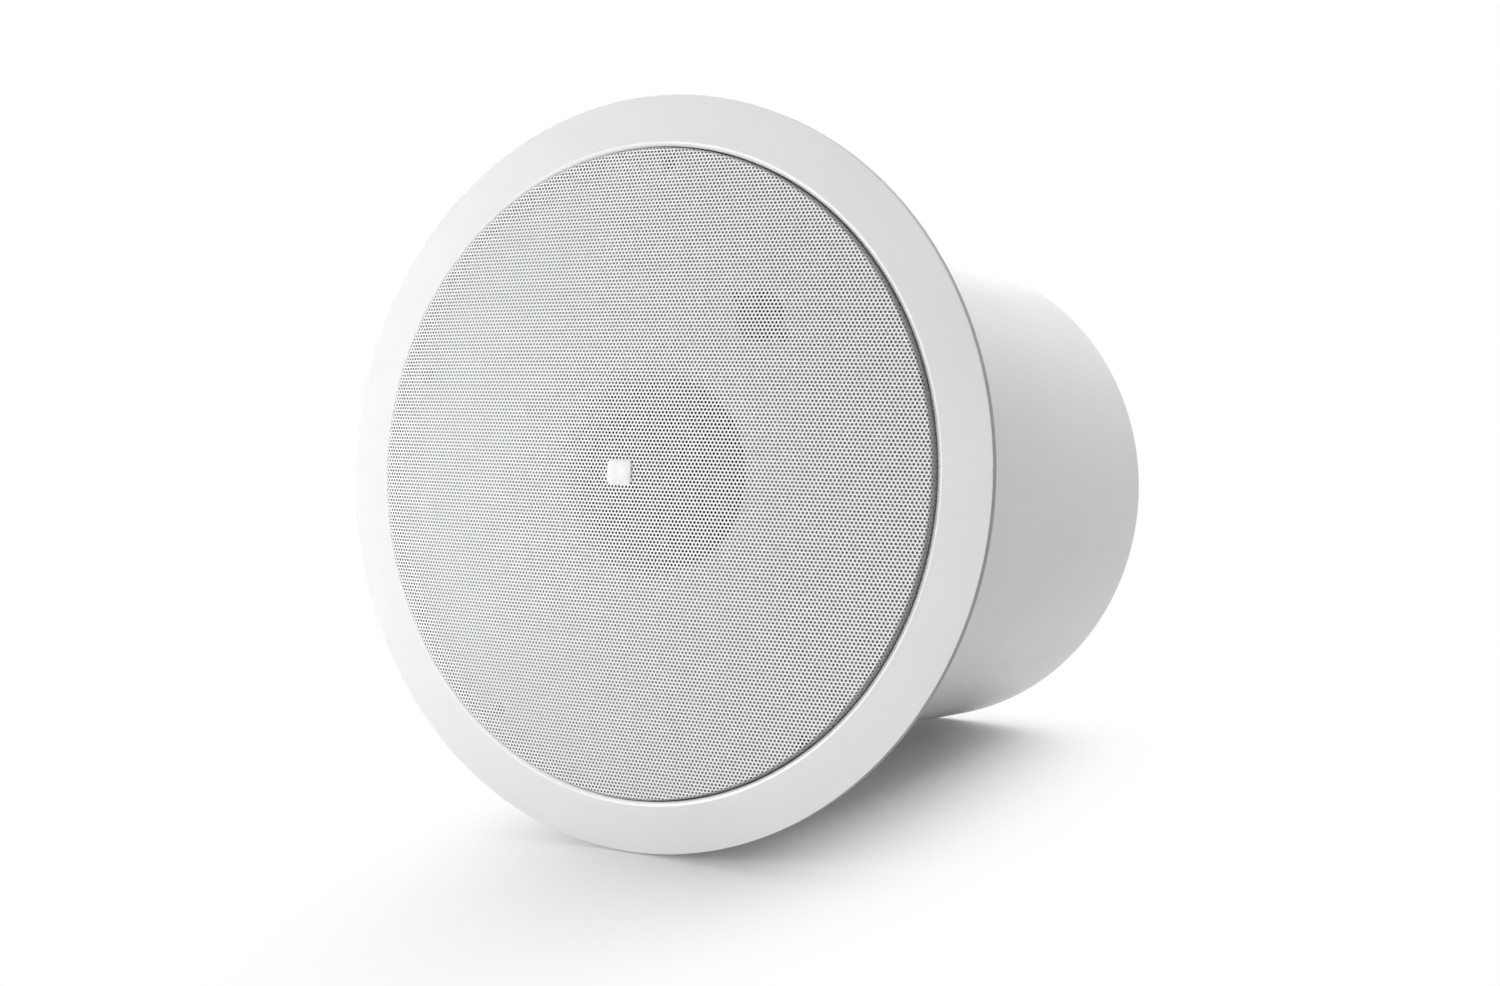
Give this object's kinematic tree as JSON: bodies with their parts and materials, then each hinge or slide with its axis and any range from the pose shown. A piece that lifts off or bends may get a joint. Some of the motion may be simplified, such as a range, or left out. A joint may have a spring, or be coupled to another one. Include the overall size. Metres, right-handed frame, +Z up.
{
  "type": "in-ceiling subwoofer",
  "caption": "Round in-ceiling band-pass subwoofer with a domed perforated grille, moulded bezel, flared port, steel back can and swing-out ceiling clamps.",
  "frame": {"origin": "on the unit's axis, in the plane of the bezel's rear face, which lies against the ceiling", "axes": "+Z up into the ceiling, along the axis of the can; the grille faces -Z; +Y points to the clamp nearest the cable entry"},
  "size_m": [0.387, 0.387, 0.3804],
  "materials": {
    "white_plastic": "satin moulded",
    "grey_plastic": "fine matt",
    "black_plastic": "fine matt",
    "grille_paint": "powder coat",
    "badge_paint": "satin",
    "can_paint": "satin",
    "zinc_steel": "zinc plated",
    "black_steel": "black stove enamel",
    "ferrite": "pressed ferrite",
    "plain_steel": "turned",
    "board": "pressed fibre board",
    "paper": "pressed paper",
    "foam_rubber": "matt",
    "spider_cloth": "treated cloth",
    "copper_wire": "enamelled wire",
    "core_steel": "varnished plates",
    "bush_rubber": "matt"
  },
  "bodies": {
    "housing": {"baffle": "white_plastic", "back_can": "can_paint", "port_tube": "grey_plastic", "tap_switch": "black_plastic", "partition": "board", "driver_basket": "black_steel", "surround": "foam_rubber", "spider": "spider_cloth", "top_plate": "plain_steel", "magnet": "ferrite", "yoke": "plain_steel", "transformer_core": "core_steel", "transformer_coil": "copper_wire", "transformer_strap": "zinc_steel", "terminal_block": "black_plastic", "terminal_cover": "zinc_steel", "cable_bush": "bush_rubber", "tie_bracket": "zinc_steel"},
    "grille": {"grille": "grille_paint", "grille_badge": "badge_paint"},
    "tap_knob": {"tap_knob": "black_plastic"},
    "cone": {"cone": "paper", "voice_coil": "copper_wire"},
    "clamp_screw_1": {"clamp_screw_1": "zinc_steel"},
    "clamp_arm_1": {"clamp_arm_1": "black_plastic"},
    "clamp_screw_2": {"clamp_screw_2": "zinc_steel"},
    "clamp_arm_2": {"clamp_arm_2": "black_plastic"},
    "clamp_screw_3": {"clamp_screw_3": "zinc_steel"},
    "clamp_arm_3": {"clamp_arm_3": "black_plastic"},
    "clamp_screw_4": {"clamp_screw_4": "zinc_steel"},
    "clamp_arm_4": {"clamp_arm_4": "black_plastic"},
    "clamp_screw_5": {"clamp_screw_5": "zinc_steel"},
    "clamp_arm_5": {"clamp_arm_5": "black_plastic"}
  },
  "joints": [
    {"name": "grille_pull", "type": "slide", "parent": "housing", "child": "grille", "axis": [0, 0, -1], "range_m": [0, 0.04]},
    {"name": "tap_knob_turn", "type": "hinge", "parent": "housing", "child": "tap_knob", "pos_m": [-0.05878, 0.0809, 0.0072], "axis": [0, 0, -1], "range_deg": [0, 120]},
    {"name": "cone_travel", "type": "slide", "parent": "housing", "child": "cone", "axis": [0, 0, 1], "range_m": [-0.006, 0.006], "stiffness_N_per_m": 2000, "deforming": ["surround", "spider"]},
    {"name": "clamp_swing_1", "type": "hinge", "parent": "housing", "child": "clamp_screw_1", "pos_m": [0.15312, 0.04975, 0.0112], "axis": [0, 0, 1], "range_deg": [0, 98]},
    {"name": "clamp_run_1", "type": "slide", "parent": "clamp_screw_1", "child": "clamp_arm_1", "axis": [0, 0, 1], "range_m": [-0.014, 0.022]},
    {"name": "clamp_swing_2", "type": "hinge", "parent": "housing", "child": "clamp_screw_2", "pos_m": [0, 0.161, 0.0112], "axis": [0, 0, 1], "range_deg": [0, 98]},
    {"name": "clamp_run_2", "type": "slide", "parent": "clamp_screw_2", "child": "clamp_arm_2", "axis": [0, 0, 1], "range_m": [-0.014, 0.022]},
    {"name": "clamp_swing_3", "type": "hinge", "parent": "housing", "child": "clamp_screw_3", "pos_m": [-0.15312, 0.04975, 0.0112], "axis": [0, 0, 1], "range_deg": [0, 98]},
    {"name": "clamp_run_3", "type": "slide", "parent": "clamp_screw_3", "child": "clamp_arm_3", "axis": [0, 0, 1], "range_m": [-0.014, 0.022]},
    {"name": "clamp_swing_4", "type": "hinge", "parent": "housing", "child": "clamp_screw_4", "pos_m": [-0.09463, -0.13025, 0.0112], "axis": [0, 0, 1], "range_deg": [0, 98]},
    {"name": "clamp_run_4", "type": "slide", "parent": "clamp_screw_4", "child": "clamp_arm_4", "axis": [0, 0, 1], "range_m": [-0.014, 0.022]},
    {"name": "clamp_swing_5", "type": "hinge", "parent": "housing", "child": "clamp_screw_5", "pos_m": [0.09463, -0.13025, 0.0112], "axis": [0, 0, 1], "range_deg": [0, 98]},
    {"name": "clamp_run_5", "type": "slide", "parent": "clamp_screw_5", "child": "clamp_arm_5", "axis": [0, 0, 1], "range_m": [-0.014, 0.022]}
  ]
}
